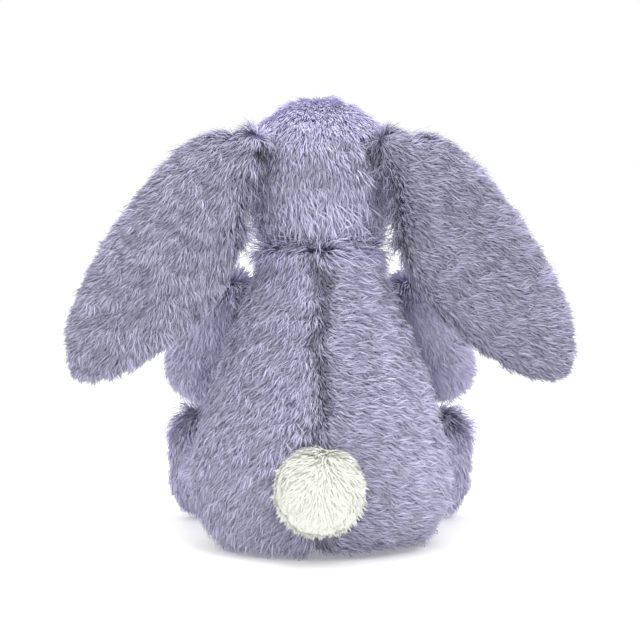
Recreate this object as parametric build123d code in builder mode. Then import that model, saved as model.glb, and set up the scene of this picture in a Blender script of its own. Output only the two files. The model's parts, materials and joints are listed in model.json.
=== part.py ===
"""A seated stuffed rabbit with long hanging ears, in millimetres.

+Z is up, the rabbit faces -Y and its own left side is +X. The origin is the middle of the seat.
Fur fabric is drawn at its full thickness, backing cloth and pile together, so each outer surface
lies at the tips of the pile.
"""

import os
from math import asin, cos, degrees, radians, sin

from build123d import *

# ---- Cloth, thread and clearances ----
fur = 9.0  # fur fabric: backing cloth and long pile
plush = 4.0  # short-pile plush of the ear linings and soles
thread = 0.5  # radius of the sewing thread
clear = 0.5  # room between covers that move on each other
lining = fur / 2  # cloth between the torso's filling and what turns in its hollows

# ---- Torso: a pear that sits on its flat seat ----
seat_width = 88.0
hip_width = 121.0
hip_height = 29.0
waist_width = 95.0
waist_height = 87.0
shoulder_width = 72.0
shoulder_height = 116.0
collar_width = 57.0
collar_height = 146.0
torso_flatness = 0.86  # depth over width
back_seam_side = 6.0  # the side seams run this far behind the middle
# Between the named heights the pear's width follows these shares of the step from one to the next.
seat_turn_height = 0.3
seat_turn_width = 0.6
belly_width = 0.7
nape_width = 0.3
# The sides lean, so an inner form's lower rings are raised by these shares of its inset.
seat_turn_raise = 0.7
hip_raise = 0.3

# ---- Head: a ball with a muzzle ----
head_radius = 33.0
head_sunk = 1.5  # how far the ball dips below the collar
head_height = collar_height - head_sunk + head_radius  # height of the ball's centre
head_back = -3.0  # y of the ball's centre
muzzle_reach = 41.0  # from the ball's centre to the tip of the muzzle
muzzle_dip = 4.0  # degrees that the muzzle points down
muzzle_angle = 55.0  # degrees off the muzzle's axis where it leaves the ball
muzzle_seam = 21.0  # from the ball's centre to the seam of the muzzle panel
sketch_lean = 0.6
head_seat_clear = 2.0  # room between the head and the hollow top of the torso

# ---- Neck: a roll of stuffing that the head turns and nods on ----
neck_pivot_rise = 23.5  # above the lowest point of the head
neck_pivot_height = head_height - head_radius + neck_pivot_rise
neck_ball_radius = 11.0
neck_stem_radius = 8.0
neck_foot = collar_height - 2 * head_sunk  # height of the stem's flat foot
neck_opening = 32.0  # degrees that the head's opening flares to each side

# ---- Face ----
eye_radius = 4.0
eye_proud = 2.2  # how far the bead's centre lies under the tips of the pile
eye_angle = 58.0  # degrees off the muzzle's axis
eye_lift = 34.0  # degrees above the level through the muzzle's axis
eye_shank_radius = 1.3
washer_radius = 6.0
washer_thickness = 1.5
nose_radius = 5.6
nose_sunk = 3.6  # how far the nose's centre lies behind the tip of the muzzle
mouth_length = 9.0
mouth_proud = 0.8

# ---- Ears: two layers sewn round the edge, hung from the sides of the head ----
ear_pivot_x = head_radius - 1.5  # just inside the side of the head
ear_pivot_z = head_height + 12.5
ear_front = 16.0  # y of the lining's face
ear_length = 134.0
ear_half_width = 28.0
ear_root_radius = 8.0
ear_pocket_clear = 5.0  # room round the ear's root in the side of the head
ear_droop = 54.0  # degrees below level

# ---- Tail: a gathered ball on the back seam ----
tail_radius = 22.5
tail_height = 35.0
tail_sunk = 3.0  # how far the ball's centre lies outside the torso's back

# ---- Arms ----
shoulder = (shoulder_width / 2 + 8.5, -24.0, shoulder_height - 2.0)
paw = (shoulder[0] + 13.5, shoulder[1] - 28.0, shoulder[2] - 33.5)
arm_root_radius = 15.5
arm_waist_radius = 14.5
paw_radius = 17.5

# ---- Legs: a thigh and an upright foot with a flat sole ----
belly_front = -torso_flatness * hip_width / 2
hip = (hip_width / 2 - 19.5, belly_front + 7.0, hip_height - 10.5)
foot = (hip[0] + 17.0, hip[1] - 36.0, hip[2] + 10.0)
thigh_radius = 15.5
leg_root_radius = 17.5
foot_half_width = 19.0
foot_half_height = 28.0
sole_front = 13.0  # from the middle of the foot to the face of the sole

# ---- Filling ----
pouch_half_width = 34.0
pouch_half_height = 13.0
pouch_edge_round = 0.9  # share of its half height that its rim is rounded by
pouch_lift = 3.0  # fibre between the seat's cloth and the pouch
stitch_pitch = 9.0
stitch_length = 6.0
first_stitch = 68.0
last_stitch = collar_height - 14.0

room = 3 * (head_height + head_radius)  # larger than the rabbit, for blocks that cut it

os.makedirs("parts", exist_ok=True)


def finish(piece, name):
    """Labels a finished piece and writes its file."""
    piece.part.label = name
    export_step(piece.part, f"parts/{name}.step")


def ball(radius, centre):
    """A solid ball."""
    with BuildPart() as made:
        with Locations(centre):
            Sphere(radius)
    return made.part


def bar(start, end, radius):
    """A round bar between two points."""
    line = Vector(*end) - Vector(*start)
    with BuildPart() as made:
        with BuildSketch(Plane(origin=start, z_dir=line)):
            Circle(radius)
        extrude(amount=line.length)
    return made.part


def beyond(plane):
    """All the room past a plane, as one large block."""
    with BuildPart() as made:
        with BuildSketch(plane):
            Rectangle(room, room)
        extrude(amount=room)
    return made.part


# ---------------------------------------------------------------- torso
def torso_form(inset):
    """The pear, drawn smaller by inset all round and at the seat."""
    turn = seat_width + seat_turn_width * (hip_width - seat_width)
    belly = waist_width + belly_width * (hip_width - waist_width)
    nape = collar_width + nape_width * (shoulder_width - collar_width)
    rings = [
        (inset, seat_width),
        (seat_turn_height * hip_height + seat_turn_raise * inset, turn),
        (hip_height + hip_raise * inset, hip_width),
        ((hip_height + waist_height) / 2, belly),
        (waist_height, waist_width),
        (shoulder_height, shoulder_width),
        ((shoulder_height + collar_height) / 2, nape),
        (collar_height, collar_width),
    ]
    with BuildPart() as form:
        for height, width in rings:
            half = width / 2 - inset
            with BuildSketch(Plane.XY.offset(height)):
                Ellipse(half, half * torso_flatness)
        loft()
    return form.part


head_centre = (0, head_back, head_height)
neck_pivot = (0, head_back, neck_pivot_height)
torso_outside = torso_form(0)
torso_inside = torso_form(fur)
head_hollow = ball(head_radius + head_seat_clear, head_centre)
head_hollow_lining = ball(head_radius + head_seat_clear + lining, head_centre)
arm_socket = ball(arm_root_radius + clear, shoulder)
leg_socket = ball(leg_root_radius + clear, hip)
leg_socket_lining = ball(leg_root_radius + clear + lining, hip)

# The pellet pouch lies flat in the seat.
pouch_height = fur + pouch_lift + pouch_half_height
with BuildPart() as pellet_pouch:
    with BuildSketch(Plane.XY.offset(pouch_height - pouch_half_height)):
        Circle(pouch_half_width)
    extrude(amount=2 * pouch_half_height)
    fillet(pellet_pouch.edges().filter_by(GeomType.CIRCLE), pouch_edge_round * pouch_half_height)
finish(pellet_pouch, "pellet_pouch")

with BuildPart() as torso_filling:
    add(torso_inside)
    add(head_hollow_lining, mode=Mode.SUBTRACT)
    add(leg_socket_lining, mode=Mode.SUBTRACT)
    add(mirror(leg_socket_lining, about=Plane.YZ, mode=Mode.PRIVATE), mode=Mode.SUBTRACT)
    with BuildSketch(Plane.XY.offset(neck_foot - lining)):
        Rectangle(hip_width, hip_width)
    extrude(amount=collar_height, mode=Mode.SUBTRACT)
with BuildPart() as torso_stuffing:
    add(torso_filling.part)
    add(pellet_pouch.part, mode=Mode.SUBTRACT)
finish(torso_stuffing, "torso_stuffing")

# The fur cover: everything between the outside and the filling, less the hollows for the head,
# the neck and the roots of the limbs.
with BuildPart() as torso_cover:
    add(torso_outside)
    add(torso_filling.part, mode=Mode.SUBTRACT)
    add(head_hollow, mode=Mode.SUBTRACT)
    with BuildSketch(Plane.XY.offset(neck_foot)):
        with Locations((0, head_back)):
            Circle(neck_stem_radius + clear)
    extrude(amount=collar_height, mode=Mode.SUBTRACT)
    for socket in (arm_socket, leg_socket):
        add(socket, mode=Mode.SUBTRACT)
        add(mirror(socket, about=Plane.YZ, mode=Mode.PRIVATE), mode=Mode.SUBTRACT)

# Ladder stitches close the back seam from inside, in the backing cloth.
stitch_count = int((last_stitch - first_stitch) / stitch_pitch) + 1
with BuildPart() as closing_stitches:
    for n in range(stitch_count):
        height = first_stitch + n * stitch_pitch
        hits = torso_inside.find_intersection_points(Axis((0, 0, height), (0, 1, 0)))
        back = max(point.Y for point, _ in hits) + 2 * thread
        add(bar((-stitch_length / 2, back, height), (stitch_length / 2, back, height), thread))
finish(closing_stitches, "closing_stitches")

seam_plane = Plane.XZ.offset(-back_seam_side)
for name, front, left in (
    ("torso_front", True, None),
    ("torso_back_left", False, True),
    ("torso_back_right", False, False),
):
    with BuildPart() as panel:
        add(torso_cover.part)
        add(beyond(seam_plane), mode=Mode.INTERSECT if front else Mode.SUBTRACT)
        if not front:
            add(beyond(-Plane.YZ if left else Plane.YZ), mode=Mode.SUBTRACT)
            add(closing_stitches.part, mode=Mode.SUBTRACT)
    finish(panel, name)

# ---------------------------------------------------------------- tail
hits = torso_outside.find_intersection_points(Axis((0, 0, tail_height), (0, 1, 0)))
torso_back = max(point.Y for point, _ in hits)
tail_centre = (0, torso_back + tail_sunk, tail_height)
with BuildPart() as tail_stuffing:
    add(ball(tail_radius - fur, tail_centre))
    add(torso_outside, mode=Mode.SUBTRACT)
finish(tail_stuffing, "tail_stuffing")
with BuildPart() as tail_cover:
    add(ball(tail_radius, tail_centre))
    add(torso_outside, mode=Mode.SUBTRACT)
    add(tail_stuffing.part, mode=Mode.SUBTRACT)
finish(tail_cover, "tail_cover")

# ---------------------------------------------------------------- neck
thread_ring = neck_foot + 3 * thread
with BuildPart() as neck_thread:
    with Locations((0, head_back, thread_ring)):
        Torus(neck_stem_radius, thread)
finish(neck_thread, "neck_thread")
with BuildPart() as neck_stuffing:
    add(ball(neck_ball_radius, neck_pivot))
    add(bar((0, head_back, neck_foot), neck_pivot, neck_stem_radius))
    add(neck_thread.part, mode=Mode.SUBTRACT)
finish(neck_stuffing, "neck_stuffing")

# ---------------------------------------------------------------- head
muzzle_axis = Vector(0, -cos(radians(muzzle_dip)), -sin(radians(muzzle_dip)))
muzzle_up = Vector(0, -sin(radians(muzzle_dip)), cos(radians(muzzle_dip)))
# The sketch leans, so that the turned surface's own seam doesn't lie on a seam between panels.
head_plane = Plane(origin=head_centre, x_dir=muzzle_axis, z_dir=muzzle_up + Vector(sketch_lean, 0, 0))


def head_form(inset):
    """The ball and its muzzle, turned about the muzzle's axis, drawn smaller by inset."""
    radius = head_radius - inset
    off = radians(muzzle_angle)
    shoulder_point = (radius * cos(off), radius * sin(off))
    with BuildPart() as form:
        with BuildSketch(head_plane):
            with BuildLine():
                CenterArc((0, 0), radius, muzzle_angle, 180 - muzzle_angle)
                Spline(
                    shoulder_point,
                    (muzzle_reach - inset, 0),
                    tangents=[(sin(off), -cos(off)), (0, -1)],
                )
                Line((muzzle_reach - inset, 0), (-radius, 0))
            make_face()
        revolve(axis=Axis(head_centre, muzzle_axis))
    return form.part


head_outside = head_form(0)
head_inside = head_form(fur)

# The cone that the neck swings in, and the pockets that the roots of the ears turn in.
opening_height = neck_pivot_height - neck_foot + clear
with BuildPart() as neck_room:
    add(ball(neck_ball_radius + clear, neck_pivot))
    with BuildSketch(Plane.XZ.offset(-head_back)):
        with BuildLine():
            Polyline(
                (0, neck_pivot_height),
                (neck_stem_radius + clear, neck_pivot_height),
                (
                    neck_stem_radius + clear + opening_height * sin(radians(neck_opening)),
                    neck_pivot_height - opening_height,
                ),
                (0, neck_pivot_height - opening_height),
                close=True,
            )
        make_face()
    revolve(axis=Axis((0, head_back, 0), (0, 0, 1)))
ear_pocket_radius = ear_root_radius + ear_pocket_clear
ear_thickness = fur + plush
with BuildPart() as ear_pockets:
    with BuildSketch(Plane.XZ.offset(-(ear_front - clear))):
        with Locations((ear_pivot_x, ear_pivot_z), (-ear_pivot_x, ear_pivot_z)):
            Circle(ear_pocket_radius)
    extrude(amount=-head_radius)


def from_head_centre(off_axis, turned, distance):
    """A point in the head: degrees off the muzzle's axis, degrees round it from level, distance."""
    across = distance * sin(radians(off_axis))
    along = distance * cos(radians(off_axis))
    point = Vector(*head_centre) + muzzle_axis * along
    point += Vector(across * cos(radians(turned)), 0, 0) + muzzle_up * (across * sin(radians(turned)))
    return tuple(point)


eye_at = from_head_centre(eye_angle, eye_lift, head_radius - eye_proud)
washer_outer = head_radius - fur
shank_end = from_head_centre(eye_angle, eye_lift, washer_outer - washer_thickness)
washer_start = from_head_centre(eye_angle, eye_lift, washer_outer)

# The bead and its shank are turned as one about the shank.
shank_reach = (Vector(*eye_at) - Vector(*shank_end)).length
shank_root = degrees(asin(eye_shank_radius / eye_radius))
with BuildPart() as turned_eye:
    with BuildSketch(Plane.XY):
        with BuildLine():
            bead = CenterArc((0, 0), eye_radius, 0, 180 - shank_root)
            Polyline(bead @ 1, (-shank_reach, eye_shank_radius), (-shank_reach, 0), (eye_radius, 0))
        make_face()
    revolve(axis=Axis.X)
eye_out = Vector(*eye_at) - Vector(*head_centre)
eye_plane = Plane(origin=eye_at, x_dir=eye_out, z_dir=eye_out.cross(Vector(0, 0, 1)))
with BuildPart() as eye:
    add(eye_plane.location * turned_eye.part)
with BuildPart() as eye_washer:
    add(bar(shank_end, washer_start, washer_radius))
    add(head_inside, mode=Mode.INTERSECT)
    add(eye.part, mode=Mode.SUBTRACT)

nose_centre = from_head_centre(0, 0, muzzle_reach - nose_sunk)
with BuildPart() as nose:
    add(ball(nose_radius, nose_centre))
    add(head_outside, mode=Mode.SUBTRACT)
finish(nose, "nose")
with BuildPart() as mouth_stitching:
    add(head_form(-mouth_proud))
    add(head_outside, mode=Mode.SUBTRACT)
    mouth_middle = Vector(*nose_centre) - Vector(0, 0, nose_radius / 2 + mouth_length / 2)
    with Locations(tuple(mouth_middle)):
        Box(2 * thread, head_radius, mouth_length, mode=Mode.INTERSECT)
    add(nose.part, mode=Mode.SUBTRACT)
finish(mouth_stitching, "mouth_stitching")

with BuildPart() as head_stuffing:
    add(head_inside)
    add(neck_room.part, mode=Mode.SUBTRACT)
    add(ear_pockets.part, mode=Mode.SUBTRACT)
    for piece in (eye, eye_washer):
        add(piece.part, mode=Mode.SUBTRACT)
        add(mirror(piece.part, about=Plane.YZ, mode=Mode.PRIVATE), mode=Mode.SUBTRACT)
finish(head_stuffing, "head_stuffing")

with BuildPart() as head_cover:
    add(head_outside)
    add(head_inside, mode=Mode.SUBTRACT)
    add(neck_room.part, mode=Mode.SUBTRACT)
    add(ear_pockets.part, mode=Mode.SUBTRACT)
    add(eye.part, mode=Mode.SUBTRACT)
    add(mirror(eye.part, about=Plane.YZ, mode=Mode.PRIVATE), mode=Mode.SUBTRACT)

seam_origin = from_head_centre(0, 0, muzzle_seam)
muzzle_plane = Plane(origin=seam_origin, z_dir=muzzle_axis)
with BuildPart() as muzzle_panel:
    add(head_cover.part)
    add(beyond(muzzle_plane), mode=Mode.INTERSECT)
finish(muzzle_panel, "muzzle_panel")
with BuildPart() as head_right:
    add(head_cover.part)
    add(beyond(muzzle_plane), mode=Mode.SUBTRACT)
    add(beyond(Plane.YZ), mode=Mode.SUBTRACT)
finish(head_right, "head_right")
with BuildPart() as head_left:
    mirror(head_right.part, about=Plane.YZ)
finish(head_left, "head_left")

# ---------------------------------------------------------------- ears
# The outline lies in the plane of the lining's face, its first axis along the ear.
ear_axis = (cos(radians(ear_droop)), 0, -sin(radians(ear_droop)))
ear_plane = Plane(
    origin=(ear_pivot_x, ear_front, ear_pivot_z), x_dir=ear_axis, z_dir=(0, 1, 0)
)
# Shares of the ear's length and half width, along the outer edge and back along the inner.
outer_edge = [(0.09, -0.76), (0.28, -0.96), (0.48, -1.0), (0.74, -0.86), (0.93, -0.5)]
inner_edge = [(0.93, 0.38), (0.75, 0.8), (0.53, 1.02), (0.32, 0.9), (0.16, 0.48)]


def ear_layer(start, thickness):
    """One layer of the ear, start behind the face of the lining."""
    points = [(0, -ear_root_radius)]
    points += [(along * ear_length, across * ear_half_width) for along, across in outer_edge]
    points += [(ear_length, 0)]
    points += [(along * ear_length, across * ear_half_width) for along, across in inner_edge]
    points += [(0, ear_root_radius)]
    with BuildPart() as layer:
        with BuildSketch(ear_plane.offset(start)):
            with BuildLine():
                Spline(points)
                ThreePointArc(points[-1], (-ear_root_radius, 0), points[0])
            make_face()
        extrude(amount=thickness)
    return layer


ear_lining = ear_layer(0, plush)
ear_back = ear_layer(plush, fur)

# ---------------------------------------------------------------- arms and legs
def limb_form(start, end, start_radius, waist_radius, end_radius, inset):
    """A stuffed limb turned about the line between its two ball ends."""
    line = Vector(*end) - Vector(*start)
    length = line.length
    near, middle, far = start_radius - inset, waist_radius - inset, end_radius - inset
    with BuildPart() as form:
        with BuildSketch(Plane.XY):
            with BuildLine():
                CenterArc((0, 0), near, 90, 90)
                Spline((0, near), (length / 2, middle), (length, far), tangents=[(1, 0), (1, 0)])
                CenterArc((length, 0), far, 0, 90)
                Line((length + far, 0), (-near, 0))
            make_face()
        revolve(axis=Axis.X)
    return Plane(origin=start, x_dir=line, z_dir=line.cross(Vector(1, 0, 0))).location * form.part


with BuildPart() as arm_stuffing:
    add(limb_form(shoulder, paw, arm_root_radius, arm_waist_radius, paw_radius, fur))
with BuildPart() as arm_cover:
    add(limb_form(shoulder, paw, arm_root_radius, arm_waist_radius, paw_radius, 0))
    add(arm_stuffing.part, mode=Mode.SUBTRACT)


def foot_form(inset):
    """The foot: an upright round body with ball ends."""
    rise = Vector(0, 0, foot_half_height - foot_half_width)
    radius = foot_half_width - inset
    return limb_form(tuple(Vector(*foot) - rise), tuple(Vector(*foot) + rise), radius, radius, radius, 0)


leg_line = (Vector(*foot) - Vector(*hip)).normalized()
foot_facing = Vector(leg_line.X, leg_line.Y, 0).normalized()
sole_plane = Plane(origin=Vector(*foot) + foot_facing * (sole_front - plush), z_dir=foot_facing)
foot_outside = foot_form(0)
with BuildPart() as foot_body:
    add(foot_outside)
    add(beyond(sole_plane), mode=Mode.SUBTRACT)
with BuildPart() as foot_stuffing:
    add(foot_form(fur))
    add(beyond(sole_plane), mode=Mode.SUBTRACT)
with BuildPart() as foot_cover:
    add(foot_body.part)
    add(foot_stuffing.part, mode=Mode.SUBTRACT)
with BuildPart() as sole:
    add(foot_outside)
    add(beyond(sole_plane), mode=Mode.INTERSECT)
    add(beyond(sole_plane.offset(plush)), mode=Mode.SUBTRACT)
thigh_end = tuple(Vector(*foot) - leg_line * (thigh_radius / 2))
with BuildPart() as leg_stuffing:
    add(limb_form(hip, thigh_end, leg_root_radius, thigh_radius, thigh_radius, fur))
    add(foot_body.part, mode=Mode.SUBTRACT)
with BuildPart() as leg_cover:
    add(limb_form(hip, thigh_end, leg_root_radius, thigh_radius, thigh_radius, 0))
    add(leg_stuffing.part, mode=Mode.SUBTRACT)
    add(foot_body.part, mode=Mode.SUBTRACT)
    add(sole.part, mode=Mode.SUBTRACT)

# ---------------------------------------------------------------- left and right pieces
sided = {
    "eye": eye,
    "eye_washer": eye_washer,
    "ear_lining": ear_lining,
    "ear_back": ear_back,
    "arm_cover": arm_cover,
    "arm_stuffing": arm_stuffing,
    "leg_cover": leg_cover,
    "leg_stuffing": leg_stuffing,
    "foot_cover": foot_cover,
    "foot_stuffing": foot_stuffing,
    "sole": sole,
}
for name, piece in sided.items():
    finish(piece, f"{name}_left")
    with BuildPart() as other:
        mirror(piece.part, about=Plane.YZ)
    finish(other, f"{name}_right")
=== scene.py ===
"""The looks of a seated stuffed rabbit: padded skins, combed lavender pile, a cream tail, a stitched face.

Metres, +Z up, the rabbit faces -Y and its own left side is +X.
"""

import json
import math

import bmesh
import bpy
import numpy as np
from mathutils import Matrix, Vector


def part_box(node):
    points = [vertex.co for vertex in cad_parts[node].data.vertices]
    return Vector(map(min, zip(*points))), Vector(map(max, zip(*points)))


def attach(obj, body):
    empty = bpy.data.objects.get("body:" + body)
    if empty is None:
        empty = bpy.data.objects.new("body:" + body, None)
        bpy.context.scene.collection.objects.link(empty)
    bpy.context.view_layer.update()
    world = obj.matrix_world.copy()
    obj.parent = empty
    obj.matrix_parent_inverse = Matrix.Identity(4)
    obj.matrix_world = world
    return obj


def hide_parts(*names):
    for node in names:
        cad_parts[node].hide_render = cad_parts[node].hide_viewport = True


MM = 0.001
SIDES = (("left", 1), ("right", -1))

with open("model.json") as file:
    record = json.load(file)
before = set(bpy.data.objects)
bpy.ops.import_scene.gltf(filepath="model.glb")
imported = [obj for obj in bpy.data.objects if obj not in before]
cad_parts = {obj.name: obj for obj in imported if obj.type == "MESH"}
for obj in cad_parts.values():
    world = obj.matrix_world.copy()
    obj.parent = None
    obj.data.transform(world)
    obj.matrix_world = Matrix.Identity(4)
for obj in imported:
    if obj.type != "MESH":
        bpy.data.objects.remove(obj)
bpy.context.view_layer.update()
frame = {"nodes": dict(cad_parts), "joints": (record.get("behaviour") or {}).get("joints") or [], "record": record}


# ---------------------------------------------------------------- places, all from the frame
def middle(node):
    """The middle of a CAD node's box."""
    low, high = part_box(node)
    return (np.array(low) + np.array(high)) / 2


def joint_place(name):
    """Where a joint's axis is."""
    for joint in frame["joints"]:
        if joint["name"] == name:
            return np.array(joint["pos_m"])
    raise ValueError(name)


HEAD = middle("head_stuffing") * (0, 1, 1)
CROWN = HEAD * (1, 1, 0) + (0, 0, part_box("head_left")[1][2])
NOSE = middle("nose")
TAIL = middle("tail_cover")
EYES = {side: middle(f"eye_{side}") for side, _ in SIDES}
SEAM_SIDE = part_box("torso_back_left")[0][1]  # y of the side seams
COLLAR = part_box("torso_back_left")[1][2]  # height of the top of the torso


# ---------------------------------------------------------------- measures over a skin's points
def unit(vectors):
    """A vector, or rows of them, made one long."""
    return vectors / np.maximum(np.linalg.norm(vectors, axis=-1, keepdims=True), 1e-6)


def ramp(values, start, width):
    """Nothing up to start, then rising to one over width."""
    return np.clip((values - start) / width, 0, 1)


def distance(points, place):
    """How far each point is from a place."""
    return np.linalg.norm(points - place, axis=1)


def close_to(points, place, reach):
    """One at a place, falling to nothing at reach from it."""
    return np.clip(1.0 - distance(points, place) / reach, 0, 1)


def even(value):
    """A measure that is the same at every point."""
    return lambda points, normals: np.full(len(points), float(value))


# ---------------------------------------------------------------- node helpers
def add_node(tree, kind, settings=None, **values):
    """A node with its settings, and its inputs set or linked by name, or by number as i0, i1 and so on."""
    node = tree.nodes.new(kind)
    for key, value in (settings or {}).items():
        setattr(node, key, value)
    for key, value in values.items():
        numbered = key[0] == "i" and key[1:].isdigit()
        socket = node.inputs[int(key[1:]) if numbered else key.replace("_", " ")]
        if isinstance(value, bpy.types.NodeSocket):
            tree.links.new(value, socket)
        else:
            socket.default_value = value
    return node


def maths(tree, operation, a, b=0.0):
    """One sum in a node tree."""
    return add_node(tree, "ShaderNodeMath", {"operation": operation}, i0=a, i1=b).outputs[0]


def scaled(tree, vector, factor):
    """A vector times a number."""
    node = add_node(tree, "ShaderNodeVectorMath", {"operation": "SCALE"}, i0=vector, Scale=factor)
    return node.outputs["Vector"]


def mixed(tree, factor, first, second):
    """Two colours mixed: they are a Mix node's inputs 6 and 7, and the mix is its output 2."""
    return add_node(tree, "ShaderNodeMix", {"data_type": "RGBA"}, i0=factor, i6=first, i7=second).outputs[2]


def eased(tree, value, start, end):
    """Nothing before start and one after end, smooth between them."""
    return add_node(tree, "ShaderNodeMapRange", {"interpolation_type": "SMOOTHSTEP"}, Value=value,
                    i1=start, i2=end).outputs[0]


def chance(tree, low, high, seed):
    """A number drawn for each tuft: the limits are inputs 2 and 3, and the draw is output 1."""
    return add_node(tree, "FunctionNodeRandomValue", {"data_type": "FLOAT"}, i2=low, i3=high,
                    Seed=seed).outputs[1]


def add_sockets(tree, way, rows):
    """Sockets on a node group, from rows of name, kind and, where it has one, first value."""
    for name, kind, *value in rows:
        socket = tree.interface.new_socket(name, in_out=way, socket_type="NodeSocket" + kind)
        if value:
            socket.default_value = value[0]


# ---------------------------------------------------------------- materials
def linear(red, green, blue):
    """A colour as it looks on a screen, 0 to 255, in the linear values that shaders take."""
    def one(value):
        value /= 255
        return value / 12.92 if value <= 0.04045 else ((value + 0.055) / 1.055) ** 2.4
    return (one(red), one(green), one(blue), 1.0)


def tuft_tone_group():
    """Colour along a tuft: dark at its root, pale at its tip, each tuft a little lighter or darker. The dark root
    is partly painted shade deep in the pile and the pale tip partly a painted highlight, over the pile's own
    colour.
    """
    group = bpy.data.node_groups.new("tuft tone", "ShaderNodeTree")
    add_sockets(group, "INPUT", (("Root", "Color"), ("Body", "Color"), ("Tip", "Color"), ("Spread", "Float")))
    add_sockets(group, "OUTPUT", (("Color", "Color"),))
    come = group.nodes.new("NodeGroupInput")
    leave = group.nodes.new("NodeGroupOutput")
    place = add_node(group, "ShaderNodeUVMap", {"uv_map": "OFBake"})
    parts = add_node(group, "ShaderNodeSeparateXYZ", i0=place.outputs["UV"])
    shade, along = parts.outputs["X"], parts.outputs["Y"]
    # Root to tip: partly the pile's own colour, partly painted shade at the roots and a painted highlight on the
    # tips.
    lower = mixed(group, eased(group, along, 0.05, 0.65), come.outputs["Root"], come.outputs["Body"])
    whole = mixed(group, eased(group, along, 0.5, 0.95), lower, come.outputs["Tip"])
    swing = maths(group, "MULTIPLY", maths(group, "SUBTRACT", shade, 0.5), come.outputs["Spread"])
    tinted = scaled(group, whole, maths(group, "ADD", swing, 1.0))
    group.links.new(tinted, leave.inputs["Color"])
    return group


def cloth_grain_group():
    """Fine mottling and a bump height for short cloth and fibre."""
    group = bpy.data.node_groups.new("cloth grain", "ShaderNodeTree")
    add_sockets(group, "INPUT", (("Scale", "Float"), ("Dark", "Color"), ("Light", "Color")))
    add_sockets(group, "OUTPUT", (("Color", "Color"), ("Height", "Float")))
    come = group.nodes.new("NodeGroupInput")
    leave = group.nodes.new("NodeGroupOutput")
    place = add_node(group, "ShaderNodeTexCoord")
    noise = add_node(group, "ShaderNodeTexNoise", Vector=place.outputs["Object"], Scale=come.outputs["Scale"],
                     Detail=6.0, Roughness=0.65)
    mottled = mixed(group, noise.outputs["Fac"], come.outputs["Dark"], come.outputs["Light"])
    group.links.new(mottled, leave.inputs["Color"])
    group.links.new(noise.outputs["Fac"], leave.inputs["Height"])
    return group


TUFT_TONE = tuft_tone_group()
CLOTH_GRAIN = cloth_grain_group()


def new_material(name, **constants):
    """A material, and its Principled shader with some constants set."""
    material = bpy.data.materials.new(name)
    material.use_nodes = True
    shader = material.node_tree.nodes["Principled BSDF"]
    for key, value in constants.items():
        shader.inputs[key.replace("_", " ")].default_value = value
    return material, shader


def pile_material(name, root, body, tip, spread, sheen):
    """Combed pile."""
    material, shader = new_material(name, Roughness=0.75, Specular_IOR_Level=0.2, Sheen_Weight=sheen,
                                    Sheen_Roughness=0.5)
    tree = material.node_tree
    tone = add_node(tree, "ShaderNodeGroup", {"node_tree": TUFT_TONE}, Root=root, Body=body, Tip=tip,
                    Spread=spread)
    tree.links.new(tone.outputs["Color"], shader.inputs["Base Color"])
    return material


def cloth_material(name, dark, light, scale, bump, roughness=0.9, sheen=0.2):
    """Short cloth, thread, fibre or plain plastic."""
    material, shader = new_material(name, Roughness=roughness, Sheen_Weight=sheen)
    tree = material.node_tree
    grain = add_node(tree, "ShaderNodeGroup", {"node_tree": CLOTH_GRAIN}, Scale=scale, Dark=dark, Light=light)
    raised = add_node(tree, "ShaderNodeBump", Height=grain.outputs["Height"], Strength=bump, Distance=MM)
    tree.links.new(grain.outputs["Color"], shader.inputs["Base Color"])
    tree.links.new(raised.outputs["Normal"], shader.inputs["Normal"])
    return material


def bead_material():
    """Polished black bead with a faint scuff in its gloss."""
    material, shader = new_material("eye bead", Coat_Weight=0.6)
    tree = material.node_tree
    place = add_node(tree, "ShaderNodeTexCoord")
    noise = add_node(tree, "ShaderNodeTexNoise", Vector=place.outputs["Object"], Scale=600.0, Detail=4.0)
    gloss = add_node(tree, "ShaderNodeMapRange", Value=noise.outputs["Fac"], i3=0.05, i4=0.14)
    brown = mixed(tree, noise.outputs["Fac"], linear(10, 8, 9), linear(24, 18, 17))
    tree.links.new(gloss.outputs[0], shader.inputs["Roughness"])
    tree.links.new(brown, shader.inputs["Base Color"])
    return material


# The lavender pile's dark root colour is partly painted shade deep in the pile, and its pale tip colour partly a
# painted highlight.
LAVENDER_PILE = pile_material(
    "lavender pile", linear(52, 44, 100), linear(119, 116, 153), linear(184, 182, 206), spread=1.0,
    sheen=0.15)
CREAM_PILE = pile_material(
    "cream tail pile", linear(234, 234, 226), linear(234, 235, 226), linear(235, 236, 228), spread=0.03,
    sheen=0.1)
PALE_PILE = pile_material(
    "short pale plush pile", linear(156, 148, 178), linear(180, 173, 199), linear(200, 194, 215), spread=0.2,
    sheen=0.3)
LAVENDER_BACKING = cloth_material(
    "lavender backing cloth", linear(104, 98, 136), linear(134, 128, 162), scale=900.0, bump=0.6)
CREAM_BACKING = cloth_material(
    "cream backing cloth", linear(200, 198, 180), linear(226, 225, 212), scale=900.0, bump=0.6)

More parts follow.
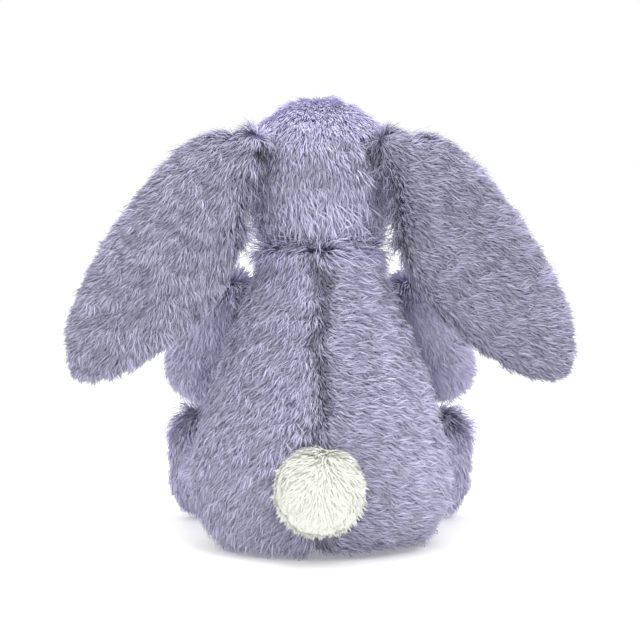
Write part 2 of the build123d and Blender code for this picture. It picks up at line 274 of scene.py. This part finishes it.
# The finish of each CAD node that stays, by its slot.
FINISHES = {
    "lavender_fur": LAVENDER_BACKING,
    "tail_fur": CREAM_BACKING,
    "short_plush": cloth_material(
        "short lavender plush", linear(166, 158, 188), linear(198, 190, 214), scale=1400.0, bump=0.8),
    "fibre_filling": cloth_material(
        "polyester fibre", linear(226, 226, 224), linear(246, 246, 245), scale=400.0, bump=1.0),
    "pouch_cloth": cloth_material(
        "pellet pouch cloth", linear(206, 203, 192), linear(228, 226, 217), scale=700.0, bump=0.5),
    "sewing_thread": cloth_material(
        "seam thread", linear(110, 102, 142), linear(140, 132, 168), scale=2500.0, bump=0.5),
    "face_thread": cloth_material(
        "nose and mouth thread", linear(112, 70, 84), linear(150, 98, 112), scale=2500.0, bump=0.4,
        roughness=0.55),
    "washer_plastic": cloth_material(
        "washer plastic", linear(228, 228, 222), linear(240, 240, 236), scale=300.0, bump=0.1, roughness=0.5,
        sheen=0.0),
    "eye_bead": bead_material(),
}


def paint_inside_and_face():
    """Gives every CAD node that stays its own finish."""
    for row in frame["record"]["subparts"]:
        node = frame["nodes"][row["node"]]
        for holder in node.material_slots:
            holder.material = FINISHES[row["material_slot"]]


# ---------------------------------------------------------------- padded skins
CLOTH_MASS = 0.15
CLOTH_QUALITY = 5
FILLING_PRESSURE = 4.0
EAR_PRESSURE = 2.0  # an ear has no filling, so it swells less
SWELLING_FRAMES = 20


def put_in_scene(name, mesh):
    """A mesh as an object in the scene."""
    made = bpy.data.objects.new(name, mesh)
    bpy.context.scene.collection.objects.link(made)
    return made


def evaluated_copy(source, name):
    """A plain mesh object with a source's modifiers applied; the source is removed."""
    bpy.context.view_layer.update()
    depsgraph = bpy.context.evaluated_depsgraph_get()
    mesh = bpy.data.meshes.new_from_object(source.evaluated_get(depsgraph))
    mesh.name = name
    bpy.data.objects.remove(source, do_unlink=True)
    return put_in_scene(name, mesh)


def joined_nodes(names):
    """One object that holds copies of several CAD nodes, their doubles merged."""
    build = bmesh.new()
    for name in names:
        build.from_mesh(frame["nodes"][name].data)
    bmesh.ops.remove_doubles(build, verts=build.verts, dist=0.01 * MM)
    mesh = bpy.data.meshes.new("joined")
    build.to_mesh(mesh)
    build.free()
    return put_in_scene("joined", mesh)


def mesh_points(mesh):
    """A mesh's vertices and their normals."""
    points = np.empty(len(mesh.vertices) * 3)
    mesh.vertices.foreach_get("co", points)
    normals = np.empty(len(mesh.vertices) * 3)
    mesh.vertices.foreach_get("normal", normals)
    return points.reshape(-1, 3), normals.reshape(-1, 3)


def move_points(mesh, points):
    """Puts a mesh's vertices in new places."""
    mesh.vertices.foreach_set("co", points.ravel())
    mesh.update()


def sunk_skin(name, nodes, voxel, sink, rounds=6):
    """A closed skin that lies sink under the outside of some CAD nodes."""
    block = joined_nodes(nodes)
    remesh = block.modifiers.new("even faces", "REMESH")
    remesh.mode = "VOXEL"
    remesh.voxel_size = voxel
    relax = block.modifiers.new("relax", "SMOOTH")
    relax.factor = 0.5
    relax.iterations = rounds
    skin = evaluated_copy(block, name)
    points, normals = mesh_points(skin.data)
    move_points(skin.data, points - normals * sink)
    return skin


def puff(skin, cap, pressure):
    """Cloth under pressure swells and wrinkles the skin; no point moves further than cap."""
    before, _ = mesh_points(skin.data)
    cloth = skin.modifiers.new("filling pressure", "CLOTH")
    cloth.settings.use_pressure = True
    cloth.settings.uniform_pressure_force = pressure
    cloth.settings.effector_weights.gravity = 0.0
    cloth.settings.quality = CLOTH_QUALITY
    cloth.settings.mass = CLOTH_MASS
    scene = bpy.context.scene
    scene.frame_start, scene.frame_end = 1, SWELLING_FRAMES
    for number in range(1, SWELLING_FRAMES + 1):
        scene.frame_set(number)
    depsgraph = bpy.context.evaluated_depsgraph_get()
    after, _ = mesh_points(skin.evaluated_get(depsgraph).data)
    skin.modifiers.remove(cloth)
    scene.frame_set(1)
    move = after - before
    far = np.linalg.norm(move, axis=1, keepdims=True)
    move *= np.minimum(1.0, cap / np.maximum(far, 1e-9))
    move_points(skin.data, before + move)


def finer(skin):
    """One round of subdivision, applied."""
    name = skin.name
    skin.name = "coarse"
    skin.modifiers.new("finer", "SUBSURF").levels = 1
    return evaluated_copy(skin, name)


def padded_skin(name, nodes, voxel, sink, swell, rounds=6, pressure=FILLING_PRESSURE):
    """A sunk skin, swollen by its filling and then made finer."""
    skin = sunk_skin(name, nodes, voxel, sink, rounds)
    puff(skin, swell, pressure)
    return finer(skin)


def dress_skin(skin, material, body, nodes):
    """Finishes a padded skin: its cloth, its body, and the CAD nodes that it stands for."""
    skin.data.materials.clear()
    skin.data.materials.append(material)
    skin.data.shade_smooth()
    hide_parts(*nodes)
    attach(skin, body)


# ---------------------------------------------------------------- combed pile
CURL = 1.85  # radians of a sine that a tuft rises and falls through, from root to tip
POINTING = 1.6  # how late along its length a tuft narrows


def tuft_blade(tree):
    """A flat tapering blade, root at the origin, one long in Z and one high in Y, where it curls over."""
    grid = add_node(tree, "GeometryNodeMeshGrid", i0=1.0, i1=1.0, i2=2, i3=3)
    where = add_node(tree, "ShaderNodeSeparateXYZ", i0=tree.nodes.new("GeometryNodeInputPosition").outputs[0])
    along = maths(tree, "ADD", where.outputs["Y"], 0.5)
    taper = maths(tree, "SUBTRACT", 1.0, maths(tree, "POWER", along, POINTING))
    across = maths(tree, "MULTIPLY", where.outputs["X"], taper)
    rise = maths(tree, "SINE", maths(tree, "MULTIPLY", along, CURL))
    bent = add_node(tree, "ShaderNodeCombineXYZ", i0=across, i1=rise, i2=along)
    shaped = add_node(tree, "GeometryNodeSetPosition", Geometry=grid.outputs["Mesh"],
                      Position=bent.outputs[0])
    marked = add_node(tree, "GeometryNodeStoreNamedAttribute", {"data_type": "FLOAT", "domain": "POINT"},
                      Geometry=shaped.outputs[0], Name="along", Value=along)
    # The blade narrows to a point: its two last corners become one.
    return add_node(tree, "GeometryNodeMergeByDistance", Geometry=marked.outputs[0], Distance=0.01).outputs[0]


def pile_tree():
    """Geometry Nodes: tufts stand on a skin, leaning along its nap, then curl over.

    The skin carries four attributes: nap is the way its tufts lean, pile scales their length, lift how far
    they stand up, and tone lightens them; on the torso, head and ears, tone is partly painted light and shade.
    Clump Scale is that of the noise which ruffles them together, and Roll is how far, in radians, a blade may
    turn about its own length.
    """
    tree = bpy.data.node_groups.new("combed pile", "GeometryNodeTree")
    add_sockets(tree, "INPUT", (
        ("Geometry", "Geometry"), ("Spacing", "Float"), ("Density", "Float"), ("Length", "Float"),
        ("Width", "Float"), ("Lift", "Float"), ("Ruffle", "Float"), ("Clump Scale", "Float", 200.0),
        ("Roll", "Float", 0.9), ("Seed", "Int"), ("Pile", "Material"),
    ))
    add_sockets(tree, "OUTPUT", (("Geometry", "Geometry"),))
    given = tree.nodes.new("NodeGroupInput").outputs
    leave = tree.nodes.new("NodeGroupOutput")

    def named(name, kind="FLOAT"):
        node = add_node(tree, "GeometryNodeInputNamedAttribute", {"data_type": kind}, Name=name)
        return node.outputs["Attribute"]

    def product(first, *others):
        for other in others:
            first = maths(tree, "MULTIPLY", first, other)
        return first

    def total(first, *others):
        for other in others:
            first = maths(tree, "ADD", first, other)
        return first

    def turned(vector, axis, angle):
        node = add_node(tree, "ShaderNodeVectorRotate", {"rotation_type": "AXIS_ANGLE"}, Vector=vector,
                        Axis=axis, Angle=angle)
        return node.outputs[0]

    # Where tufts stand, and how far each is ruffled with its neighbours.
    spread = add_node(tree, "GeometryNodeDistributePointsOnFaces", {"distribute_method": "POISSON"},
                      Mesh=given["Geometry"], Distance_Min=given["Spacing"], Density_Max=given["Density"],
                      Seed=given["Seed"])
    up = spread.outputs["Normal"]
    clumps = add_node(tree, "ShaderNodeTexNoise", Scale=given["Clump Scale"], Detail=2.0,
                      Vector=tree.nodes.new("GeometryNodeInputPosition").outputs[0])
    clump = product(maths(tree, "SUBTRACT", clumps.outputs["Fac"], 0.5), 6.0)

    # How each leans. The second axis is near the normal, so a blade's flat side looks outwards, give or
    # take its roll.
    turn = product(total(clump, chance(tree, -0.6, 0.6, seed=3)), given["Ruffle"])
    lean = turned(named("nap", "FLOAT_VECTOR"), up, turn)
    flat = turned(up, lean, product(chance(tree, -1.0, 1.0, seed=13), given["Roll"]))
    aim = add_node(tree, "FunctionNodeAxesToRotation", {"primary_axis": "Z", "secondary_axis": "Y"},
                   i0=lean, i1=flat)

    # How long, high and wide each is.
    length = product(chance(tree, 0.7, 1.25, seed=5), named("pile"), given["Length"])
    stand_up = product(given["Lift"], named("lift"), total(1.0, product(clump, 0.35)))
    height = product(chance(tree, 0.55, 1.35, seed=7), stand_up, length)
    width = product(chance(tree, 0.7, 1.3, seed=9), given["Width"])
    size = add_node(tree, "ShaderNodeCombineXYZ", i0=width, i1=height, i2=length)

    # How light each is: at random, by clump, and by the skin's tone, which holds painted light and shade on some
    # skins.
    shade = total(product(chance(tree, 0.0, 1.0, seed=11), 0.55), total(product(clump, 0.2), named("tone")))
    toned = add_node(tree, "GeometryNodeStoreNamedAttribute", {"data_type": "FLOAT", "domain": "POINT"},
                     Geometry=spread.outputs["Points"], Name="shade", Value=shade)

    stand = add_node(tree, "GeometryNodeInstanceOnPoints", Points=toned.outputs[0], Instance=tuft_blade(tree),
                     Rotation=aim.outputs[0], Scale=size.outputs[0])
    real = add_node(tree, "GeometryNodeRealizeInstances", Geometry=stand.outputs[0])
    # The UV map holds the shade across and the place along a tuft upwards.
    shade_uv = add_node(tree, "ShaderNodeClamp", Value=named("shade"), Min=0.02, Max=0.98)
    along_uv = add_node(tree, "ShaderNodeClamp", Value=named("along"), Min=0.02, Max=0.98)
    both = add_node(tree, "ShaderNodeCombineXYZ", i0=shade_uv.outputs[0], i1=along_uv.outputs[0])
    mapped = add_node(tree, "GeometryNodeStoreNamedAttribute", {"data_type": "FLOAT2", "domain": "CORNER"},
                      Geometry=real.outputs[0], Name="OFBake", Value=both.outputs[0])
    smooth = add_node(tree, "GeometryNodeSetShadeSmooth", Geometry=mapped.outputs[0])
    dressed = add_node(tree, "GeometryNodeSetMaterial", Geometry=smooth.outputs[0], Material=given["Pile"])
    tree.links.new(dressed.outputs[0], leave.inputs["Geometry"])
    return tree


PILE_TREE = pile_tree()


def set_inputs(modifier, values):
    """Sets a Geometry Nodes modifier's inputs by socket identifier."""
    for item in modifier.node_group.interface.items_tree:
        if item.item_type == "SOCKET" and item.in_out == "INPUT" and item.name in values:
            modifier[item.identifier] = values[item.name]


def comb(skin, nap, pile, tone, lift=even(1.0)):
    """Gives a skin the attributes that its tufts follow, each from a measure over its points."""
    points, normals = mesh_points(skin.data)
    lie = nap(points, normals)
    lie = lie - normals * np.sum(lie * normals, axis=1, keepdims=True)
    attributes = skin.data.attributes
    attributes.new("nap", "FLOAT_VECTOR", "POINT").data.foreach_set("vector", unit(lie).ravel())
    for name, measure in (("pile", pile), ("tone", tone), ("lift", lift)):
        attributes.new(name, "FLOAT", "POINT").data.foreach_set("value", measure(points, normals))


def grow_pile(skin, name, body, slot, keep, **settings):
    """Tufts on the faces of a skin that keep() picks, as one piece on one body."""
    lawn = put_in_scene(name + "_lawn", skin.data.copy())
    build = bmesh.new()
    build.from_mesh(lawn.data)
    bare = [face for face in build.faces if not keep(face.calc_center_median())]
    bmesh.ops.delete(build, geom=bare, context="FACES")
    build.to_mesh(lawn.data)
    build.free()
    modifier = lawn.modifiers.new("pile", "NODES")
    modifier.node_group = PILE_TREE
    set_inputs(modifier, settings)
    pile = evaluated_copy(lawn, name)
    for spare in ("along", "shade", "nap", "pile", "tone", "lift"):
        held = pile.data.attributes.get(spare)
        if held:
            pile.data.attributes.remove(held)
    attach(pile, body)


# ---------------------------------------------------------------- torso
TORSO_NODES = ("torso_front", "torso_back_left", "torso_back_right")
SEAT_CONTACT = 7 * MM  # no tufts grow below this height, where the seat is pressed flat
PARTING_WIDTH = 2.3 * MM  # from the middle of the parting down the back to its edge
NAP_ASIDE = (0.75, 1.3)  # how far the nap turns away from the parting, left and right of it
NAP_DOWN = (1.0, 0.6)  # how far it falls there


def torso_collar(points, depth, width):
    """Nothing below depth under the top of the torso, rising to one over width."""
    return ramp(points[:, 2], COLLAR - depth, width)


def torso_nap(points, normals):
    """Down all over, and away from the seam down the back."""
    left = points[:, 0] > 0
    back = ramp(points[:, 1], 0, 20 * MM)
    side = np.tanh(points[:, 0] / (4 * MM)) * (1 - torso_collar(points, 10 * MM, 8 * MM))
    lie = np.zeros_like(points)
    lie[:, 0] = side * np.where(left, *NAP_ASIDE) * back
    lie[:, 2] = -np.where(left, *NAP_DOWN) * back - (1 - back)
    return lie


def back_seam(points):
    """One on the wandering parting down the back, falling to nothing beside it."""
    height = points[:, 2] / MM
    wander = (1.6 * np.sin(height / 7) + 1.1 * np.sin(height / 3.1 + 1)) * MM
    return np.exp(-(((points[:, 0] - wander) / PARTING_WIDTH) ** 2)) * (points[:, 1] > 0)


def torso_pile(points, normals):
    """Shorter in the parting along the back seam, longer round the collar."""
    return 1.0 - 0.6 * back_seam(points) + 0.35 * torso_collar(points, 12 * MM, 10 * MM)


def torso_lift(points, normals):
    """Stands up round the collar, to close on the head."""
    return 1.0 + 1.6 * torso_collar(points, 9 * MM, 8 * MM)


def torso_tone_painted_light_and_shade(points, normals):
    """Darker in the parting and towards the seat, which is painted shade, and paler round the collar, which is
    painted light at the top of the torso.
    """
    # Painted shade along the parting and, through low, towards the seat; painted light round the collar.
    low = np.clip(1 - points[:, 2] / (40 * MM), 0, 1)
    collar = torso_collar(points, 12 * MM, 10 * MM)
    return 0.22 + 0.3 * collar - 0.75 * back_seam(points) * (1 - collar) - 0.2 * low


def make_torso():
    """The pear-shaped body."""
    skin = padded_skin("torso_skin", TORSO_NODES + ("torso_stuffing",), voxel=4 * MM, sink=5 * MM,
                       swell=2.5 * MM)
    comb(skin, torso_nap, torso_pile, torso_tone_painted_light_and_shade, torso_lift)
    for name, back, sign in (
        ("torso_pile_back_left", True, 1), ("torso_pile_back_right", True, -1),
        ("torso_pile_front_left", False, 1), ("torso_pile_front_right", False, -1),
    ):
        def keep(at, back=back, sign=sign):
            return (at.y > SEAM_SIDE) == back and at.x * sign >= 0 and at.z > SEAT_CONTACT

        grow_pile(skin, name, "torso", "lavender_fur", keep, Pile=LAVENDER_PILE, Seed=11 + 3 * back + sign,
                  Length=6 * MM, Width=0.66 * MM, Lift=0.8, Ruffle=0.55, Spacing=0.22 * MM,
                  Density=12e6 if back else 6e6)
    dress_skin(skin, LAVENDER_BACKING, "torso", TORSO_NODES)


# ---------------------------------------------------------------- head
NOSE_CLEARANCE = 6.5 * MM  # bare cloth round the middle of the nose
EYE_CLEARANCE = 6 * MM  # and round the middle of each eye
EAR_SEAM_BACK = (0, 8 * MM, 0)  # from an ear's hinge to the seam behind it


def head_nap(points, normals):
    """Falling from the crown on every side."""
    lie = unit(points - CROWN) * [0.8, 0.8, 0.0]
    lie[:, 2] = -1.0
    return lie


def on_crown(normals):
    """One where the head faces up, nothing on its sides."""
    return ramp(normals[:, 2], 0.45, 0.4)


def head_pile(points, normals):
    """Short on the crown, the muzzle and round the eyes, long round the ears."""
    length = np.clip(distance(points, NOSE) / (38 * MM), 0.35, 1.0)
    length *= 1.0 - 0.3 * on_crown(normals)
    for side, _ in SIDES:
        ear_seam = joint_place(f"ear_{side}_lift") + EAR_SEAM_BACK
        length *= 1.0 + 0.5 * close_to(points, ear_seam, 18 * MM)
    for eye in EYES.values():
        length *= np.clip(distance(points, eye) / (13 * MM), 0.35, 1.0)
    return length


def head_tone_and_painted_light(points, normals):
    """Paler on the crown, which is painted light, and paler under the head."""
    # Painted light on the crown, where the head faces up.
    return 0.2 + 0.5 * ramp(normals[:, 2], 0.2, 0.5) + 0.2 * np.clip(-normals[:, 2], 0, 1)


def head_lift(points, normals):
    """A little flatter on the crown, and standing up under the head to close on the collar."""
    return 1.0 - 0.1 * on_crown(normals) + 1.3 * ramp(-normals[:, 2], 0.25, 0.35)


def clear_of_face(at):
    """Whether a place is off the nose and the eyes."""
    spot = np.array(at)
    if np.linalg.norm(spot - NOSE) < NOSE_CLEARANCE:
        return False
    return all(np.linalg.norm(spot - eye) > EYE_CLEARANCE for eye in EYES.values())


def make_head():
    """The head with its muzzle."""
    nodes = ("head_left", "head_right", "muzzle_panel")
    skin = padded_skin("head_skin", nodes + ("head_stuffing",), voxel=3 * MM, sink=2.4 * MM, swell=1.5 * MM)
    comb(skin, head_nap, head_pile, head_tone_and_painted_light, head_lift)
    for side, sign in SIDES:
        grow_pile(skin, f"head_pile_{side}", "head", "lavender_fur",
                  lambda at, sign=sign: at.x * sign >= 0 and clear_of_face(at),
                  Pile=LAVENDER_PILE, Seed=31 + sign, Length=6 * MM, Width=0.66 * MM, Lift=0.75,
                  Ruffle=0.55, Spacing=0.22 * MM, Density=11e6)
    dress_skin(skin, LAVENDER_BACKING, "head", nodes)


# ---------------------------------------------------------------- ears
EAR_TIP_INSET = (9 * MM, 3 * MM)  # from the corner of an ear's box to its tip, sideways and up
EAR_HALF_SPREAD = 28 * MM  # the nap's fan is at its widest this far from an ear's middle line
LINING_EDGE = 5 * MM  # the pile of the back wraps this far in front of an ear's middle


def make_ear(side, sign):
    """One hanging ear: combed pile behind, short plush in front."""
    pivot = joint_place(f"ear_{side}_lift")
    low, high = (np.array(corner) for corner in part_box(f"ear_back_{side}"))
    inset, rise = EAR_TIP_INSET
    tip = np.array([high[0] if sign > 0 else low[0], 0, low[2]]) - [sign * inset, 0, -rise]
    down = unit(tip - pivot * (1, 0, 1))
    out = np.array([-down[2] * sign, 0, down[0] * sign])
    out *= np.sign(out[0]) * sign

    def nap(points, normals):
        """Fanned out on the left ear, combed across on the right one."""
        fan = np.clip((points - pivot) @ out / EAR_HALF_SPREAD, -1, 1)
        aside = fan * 0.75 if sign > 0 else 0.55 + 0.15 * fan
        return down[None] + out[None] * aside[:, None]

    def near_root(points):
        return close_to(points, pivot, 24 * MM)

    def pile(points, normals):
        """Longer round the root."""
        return 1.0 + 0.5 * near_root(points)

    def tone(points, normals):
        """Paler where it faces up, which is painted light from above."""
        return 0.03 + 0.2 * np.clip(normals[:, 2], 0, 1)

    def lift(points, normals):
        """Stands up round the root and on the edge that faces the head."""
        inner = np.clip(-(normals @ out), 0, 1) * (points[:, 2] > HEAD[2] - 35 * MM)
        return 1.0 + 1.6 * near_root(points) + 1.2 * inner

    nodes = (f"ear_back_{side}", f"ear_lining_{side}")
    skin = padded_skin(f"ear_{side}_skin", nodes, voxel=2.6 * MM, sink=3.2 * MM, swell=1.5 * MM, rounds=8,
                       pressure=EAR_PRESSURE)
    comb(skin, nap, pile, tone, lift)
    back_face = (low[1] + high[1]) / 2 - LINING_EDGE
    grow_pile(skin, f"ear_{side}_pile", f"ear_{side}", "lavender_fur", lambda at: at.y > back_face,
              Pile=LAVENDER_PILE, Seed=51 + sign, Length=5.7 * MM, Width=0.6 * MM, Lift=0.65, Ruffle=0.55,
              Spacing=0.22 * MM, Density=11e6)
    grow_pile(skin, f"ear_{side}_lining_pile", f"ear_{side}", "short_plush", lambda at: at.y <= back_face,
              Pile=PALE_PILE, Seed=61 + sign, Length=3.4 * MM, Width=0.7 * MM, Lift=0.4, Ruffle=0.4,
              Spacing=0.36 * MM, Density=4e6)
    dress_skin(skin, LAVENDER_BACKING, f"ear_{side}", nodes)


# ---------------------------------------------------------------- arms and legs
FOOT_START = 20 * MM  # from a hip to where the nap begins to turn down on the foot
FOOT_TURN = 12 * MM  # the nap turns over this length
SOLE_EDGE = 8 * MM  # short plush starts this far behind the middle of a sole


def make_arm(side, sign):
    """One stuffed arm."""
    along = unit(middle(f"arm_cover_{side}") * 2 - joint_place(f"arm_{side}_swing") * 2)
    nodes = (f"arm_cover_{side}",)
    skin = padded_skin(f"arm_{side}_skin", nodes + (f"arm_stuffing_{side}",), voxel=3 * MM, sink=3.5 * MM,
                       swell=1.5 * MM)
    comb(skin, lambda points, normals: np.tile(along + [0, 0, -0.3], (len(points), 1)), even(1.0), even(0.3))
    grow_pile(skin, f"arm_{side}_pile", f"arm_{side}", "lavender_fur", lambda at: True,
              Pile=LAVENDER_PILE, Seed=71 + sign, Length=6.2 * MM, Width=0.68 * MM, Lift=0.72, Ruffle=0.55,
              Spacing=0.26 * MM, Density=7.5e6)
    dress_skin(skin, LAVENDER_BACKING, f"arm_{side}", nodes)


def make_leg(side, sign):
    """One thigh with its upright foot and plush sole."""
    hip = joint_place(f"leg_{side}_lift")
    foot = middle(f"foot_cover_{side}")
    sole = middle(f"sole_{side}")
    along = unit(foot - hip)
    facing = Vector(unit((sole - foot) * (1, 1, 0)))
    sole_face = Vector(sole) - facing * SOLE_EDGE

    def nap(points, normals):
        """Along the thigh, then down the foot."""
        on_foot = ramp((points - hip) @ along, FOOT_START, FOOT_TURN)[:, None]
        return along * (1 - on_foot) + np.array([0, 0, -1.0]) * on_foot

    def facing_up(most):
        """One, and more where the leg faces up."""
        return lambda points, normals: 1.0 + most * np.clip(normals[:, 2], 0, 1)

    def behind_sole(at):
        return (at - sole_face).dot(facing) < 0

    nodes = (f"leg_cover_{side}", f"foot_cover_{side}", f"sole_{side}")
    skin = padded_skin(f"leg_{side}_skin", nodes + (f"leg_stuffing_{side}", f"foot_stuffing_{side}"),
                       voxel=3 * MM, sink=3.2 * MM, swell=1.5 * MM)
    comb(skin, nap, facing_up(0.4), even(0.36), facing_up(0.7))
    grow_pile(skin, f"leg_{side}_pile", f"leg_{side}", "lavender_fur", behind_sole,
              Pile=LAVENDER_PILE, Seed=81 + sign, Length=6.5 * MM, Width=0.7 * MM, Lift=0.5, Ruffle=0.45,
              Spacing=0.28 * MM, Density=6.5e6)
    grow_pile(skin, f"sole_{side}_pile", f"leg_{side}", "short_plush", lambda at: not behind_sole(at),
              Pile=PALE_PILE, Seed=91 + sign, Length=3.2 * MM, Width=0.7 * MM, Lift=0.45, Ruffle=0.6,
              Spacing=0.36 * MM, Density=4e6)
    dress_skin(skin, LAVENDER_BACKING, f"leg_{side}", nodes)


# ---------------------------------------------------------------- tail
def tail_nap(points, normals):
    """Out from the middle a little, and down."""
    return unit(points - TAIL) * [0.4, 0, 0.4] + [0.1, 0.0, -0.5]


def tail_length(points, normals):
    """A little longer on top."""
    return 1.0 + 0.15 * normals[:, 2]


def make_tail():
    """The gathered cream ball. Its skin isn't swollen."""
    skin = finer(sunk_skin("tail_skin", ("tail_cover", "tail_stuffing"), voxel=2.5 * MM, sink=4.5 * MM))
    comb(skin, tail_nap, tail_length, even(0.4))
    grow_pile(skin, "tail_pile", "torso", "tail_fur", lambda at: True, Pile=CREAM_PILE, Seed=101,
              Length=5.2 * MM, Width=1.15 * MM, Lift=0.3, Ruffle=0.55, Roll=0.3, Spacing=0.24 * MM,
              Density=10e6)
    dress_skin(skin, CREAM_BACKING, "torso", ("tail_cover",))


# ---------------------------------------------------------------- floor, light, camera
FLOOR_SIZE = 12
LIGHT_AIM = Vector((0, 0, 0.1))
LIGHTS = (  # name, place, size and power in watts
    ("key", (-0.5, 0.9, 1.1), 0.9, 6.5),
    ("rim", (0.9, -0.5, 0.9), 0.8, 3.0),
    ("top", (0.0, 0.1, 1.3), 0.7, 5.0),
)
CAMERA_AIM = Vector((0, 0.02, 0.1085))
CAMERA_DISTANCE = 1.105
CAMERA_RISE = math.radians(5)
CAMERA_LENS = 135  # mm


def place_and_aim(thing, place, aim):
    """Puts a light or camera in its place, looking at aim."""
    thing.location = place
    thing.rotation_euler = (aim - Vector(place)).to_track_quat("-Z", "Y").to_euler()


def make_stage():
    """A pale floor that runs into a white background, and three large soft lights."""
    bpy.ops.mesh.primitive_plane_add(size=FLOOR_SIZE)
    floor = bpy.context.object
    floor.name = "floor"
    pale, _ = new_material("pale floor", Base_Color=(0.9, 0.9, 0.9, 1), Roughness=0.8,
                           Emission_Color=(1, 1, 1, 1), Emission_Strength=0.25)
    floor.data.materials.append(pale)
    world = bpy.data.worlds.new("studio")
    bpy.context.scene.world = world
    world.use_nodes = True
    background = world.node_tree.nodes["Background"]
    background.inputs["Color"].default_value = (1, 1, 1, 1)
    background.inputs["Strength"].default_value = 1.0
    for name, place, size, power in LIGHTS:
        light = bpy.data.lights.new(name, "AREA")
        light.size = size
        light.energy = power
        place_and_aim(put_in_scene(name, light), place, LIGHT_AIM)
    bpy.context.scene.view_settings.view_transform = "Standard"


def make_camera():
    """From behind the rabbit, a little above level."""
    lens = bpy.data.cameras.new("camera")
    lens.lens = CAMERA_LENS
    lens.dof.use_dof = False
    camera = put_in_scene("camera", lens)
    back_and_up = Vector((0, math.cos(CAMERA_RISE), math.sin(CAMERA_RISE)))
    place_and_aim(camera, CAMERA_AIM + back_and_up * CAMERA_DISTANCE, CAMERA_AIM)
    bpy.context.scene.camera = camera


make_stage()
make_camera()
paint_inside_and_face()
make_torso()
make_head()
for each_side, each_sign in SIDES:
    make_ear(each_side, each_sign)
    make_arm(each_side, each_sign)
    make_leg(each_side, each_sign)
make_tail()
